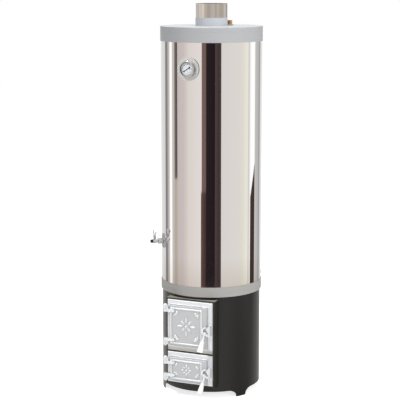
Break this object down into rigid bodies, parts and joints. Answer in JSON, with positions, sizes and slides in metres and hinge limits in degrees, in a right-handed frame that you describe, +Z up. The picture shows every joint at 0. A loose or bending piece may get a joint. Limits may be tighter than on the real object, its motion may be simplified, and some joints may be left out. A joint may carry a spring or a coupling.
{
  "type": "wood-fired boiler",
  "caption": "Free-standing column that heats household water with wood: a polished tank with a thermometer and tap on a black firebox with cast doors.",
  "frame": {"origin": "on the floor, on the axis of the column", "axes": "+Z up the column, -Y out of the doors, +X to the right as seen from in front"},
  "size_m": [0.3834, 0.4443, 1.4691],
  "materials": {
    "black_steel": "satin black heat-resistant paint",
    "door_silver": "silver-white heat-resistant paint on cast iron",
    "grate_iron": "rough cast, sooty",
    "tank_steel": "polished stainless sheet",
    "grey_paint": "smooth grey paint",
    "flue_steel": "drawn steel tube, dull",
    "plain_steel": "zinc-plated",
    "lever_steel": "cast, bare",
    "grip_cream": "smooth",
    "brass": "machined",
    "bright_chrome": "polished",
    "dial_white": "matt white enamel",
    "pointer_black": "matt black",
    "dial_glass": "clear",
    "seat_white": "low-friction sealing plastic"
  },
  "bodies": {
    "column": {"firebox_shell": "black_steel", "firebox_floor": "black_steel", "hearth_plate": "black_steel", "grate": "grate_iron", "portal_cheeks": "black_steel", "portal_roof": "black_steel", "portal_sill": "black_steel", "door_portal": "black_steel", "frame_bolts": "plain_steel", "tank_shell": "tank_steel", "tank_bottom": "grey_paint", "bottom_band": "grey_paint", "top_band": "grey_paint", "top_cap": "grey_paint", "flue_tube": "flue_steel", "flue_collar": "grey_paint", "outlet_socket": "grey_paint", "outlet_nipple": "brass", "inlet_socket": "plain_steel", "wall_stud": "plain_steel", "thermometer_bush": "plain_steel", "thermometer_plate": "grey_paint", "thermometer_stem": "brass", "thermometer_case": "bright_chrome", "thermometer_dial": "dial_white", "thermometer_glass": "dial_glass", "thermometer_bezel": "bright_chrome", "tap_patch": "plain_steel", "tap_nipple": "bright_chrome", "tap_nut": "bright_chrome", "tap_body": "bright_chrome", "tap_seats": "seat_white", "tap_gland": "bright_chrome", "fire_door_frame": "door_silver", "fire_hinge_pins": "plain_steel", "fire_latch_keeper": "door_silver", "ash_door_frame": "door_silver", "ash_hinge_pins": "plain_steel", "ash_latch_keeper": "door_silver"},
    "fire_door": {"fire_door_leaf": "door_silver", "fire_latch_pivot": "plain_steel", "fire_latch_washer": "plain_steel"},
    "fire_latch": {"fire_latch_lever": "lever_steel", "fire_latch_grip": "grip_cream"},
    "ash_door": {"ash_door_leaf": "door_silver", "ash_latch_pivot": "plain_steel", "ash_latch_washer": "plain_steel"},
    "ash_latch": {"ash_latch_lever": "lever_steel", "ash_latch_grip": "grip_cream"},
    "tap_valve": {"tap_ball": "bright_chrome", "tap_stem": "bright_chrome", "tap_handle": "bright_chrome", "tap_handle_nut": "bright_chrome"},
    "pointer": {"thermometer_pointer": "pointer_black"}
  },
  "joints": [
    {"name": "fire_door_hinge", "type": "hinge", "parent": "column", "child": "fire_door", "pos_m": [-0.096, -0.2123, 0.2795], "axis": [0, 0, -1], "range_deg": [0, 120]},
    {"name": "fire_latch_turn", "type": "hinge", "parent": "fire_door", "child": "fire_latch", "pos_m": [0.064, -0.2154, 0.2605], "axis": [0, -1, 0], "range_deg": [0, 50]},
    {"name": "ash_door_hinge", "type": "hinge", "parent": "column", "child": "ash_door", "pos_m": [-0.096, -0.2123, 0.11075], "axis": [0, 0, -1], "range_deg": [0, 120]},
    {"name": "ash_latch_turn", "type": "hinge", "parent": "ash_door", "child": "ash_latch", "pos_m": [0.064, -0.2154, 0.1], "axis": [0, -1, 0], "range_deg": [0, 50]},
    {"name": "tap_turn", "type": "hinge", "parent": "column", "child": "tap_valve", "pos_m": [-0.16795, -0.15122, 0.5811], "axis": [0, 0, 1], "range_deg": [0, 90]},
    {"name": "pointer_turn", "type": "hinge", "parent": "column", "child": "pointer", "pos_m": [-0.01203, -0.19663, 1.2361], "axis": [0.061, 0.9981, 0], "range_deg": [-13, 257]}
  ]
}
